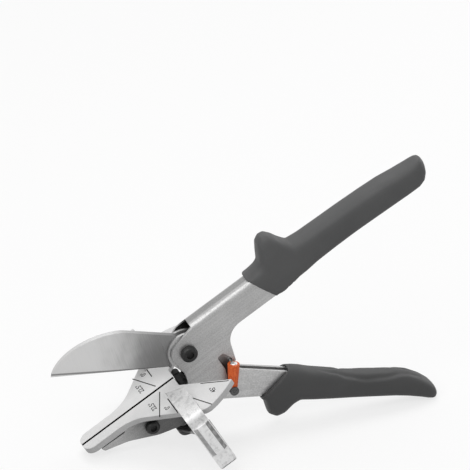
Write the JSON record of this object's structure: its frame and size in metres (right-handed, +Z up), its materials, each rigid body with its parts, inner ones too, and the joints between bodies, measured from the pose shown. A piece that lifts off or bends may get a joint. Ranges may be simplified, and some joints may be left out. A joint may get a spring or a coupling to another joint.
{
  "type": "mitre shears",
  "caption": "Hand mitre shears: a curved blade shuts on a slotted anvil plate with angle lines and swivelling fences; sprung handles with moulded grips and a swing latch.",
  "frame": {"origin": "On the ground under the middle of the whole tool, level with the lowest point of the lower grip, jaws open.", "axes": "+X runs from the blade tip towards the grips, +Y away from the latch side, +Z up; the pivot is along Y."},
  "size_m": [0.2518, 0.1206, 0.1702],
  "materials": {
    "steel_sheet": "satin plated sheet, folded",
    "blade_steel": "ground and brushed",
    "anvil_cast": "light satin casting with black angle lines",
    "fence_cast": "satin casting",
    "grip_pvc": "dark grey dull moulding",
    "black_screw": "black oxide",
    "black_rubber": "dull black",
    "bearing_brass": "plain bush",
    "plain_steel": "plain",
    "spring_steel": "drawn wire",
    "pin_grey": "dark grey",
    "latch_orange": "orange ribbed sleeve",
    "hook_steel": "bright wire"
  },
  "bodies": {
    "anvil_side": {"upper_handle": "steel_sheet", "upper_grip": "grip_pvc", "anvil": "anvil_cast", "anvil_front_bolt": "black_screw", "anvil_front_nut": "black_screw", "anvil_rear_bolt": "black_screw", "anvil_rear_nut": "black_screw", "heel_bumper": "black_rubber", "pivot_bolt": "black_screw", "pivot_nut": "black_screw", "pivot_bush": "bearing_brass", "pivot_shims": "plain_steel", "spring_pin": "plain_steel", "return_spring": "spring_steel", "swivel_bolt": "black_screw", "swivel_bush": "bearing_brass", "swivel_washers": "plain_steel"},
    "blade_side": {"lower_handle": "steel_sheet", "lower_grip": "grip_pvc", "blade": "blade_steel", "blade_rivets": "plain_steel", "latch_pin": "pin_grey"},
    "latch_lever": {"latch": "latch_orange", "catch_hook": "hook_steel"},
    "fence_left": {"left_fence": "fence_cast"},
    "fence_right": {"right_fence": "fence_cast"}
  },
  "joints": [
    {"name": "handle_pivot", "type": "hinge", "parent": "anvil_side", "child": "blade_side", "pos_m": [-0.03839, 0, 0.06309], "axis": [0, -1, 0], "range_deg": [0, 38.1], "stiffness_Nm_per_rad": 0.6, "springref_deg": -57.3, "deforming": ["return_spring"]},
    {"name": "latch_pivot", "type": "hinge", "parent": "blade_side", "child": "latch_lever", "pos_m": [-0.01089, -0.009, 0.035], "axis": [0, -1, 0], "range_deg": [0, 66]},
    {"name": "left_fence_swivel", "type": "hinge", "parent": "anvil_side", "child": "fence_left", "pos_m": [-0.03781, 0, 0.01062], "axis": [-0.524, 0, 0.8517], "range_deg": [-22.5, 45]},
    {"name": "right_fence_swivel", "type": "hinge", "parent": "anvil_side", "child": "fence_right", "pos_m": [-0.03781, 0, 0.01062], "axis": [0.524, 0, -0.8517], "range_deg": [-17.5, 50]}
  ],
  "couplings": [
    {"joint": "latch_pivot", "follows": "handle_pivot", "ratio": 1.7323}
  ]
}
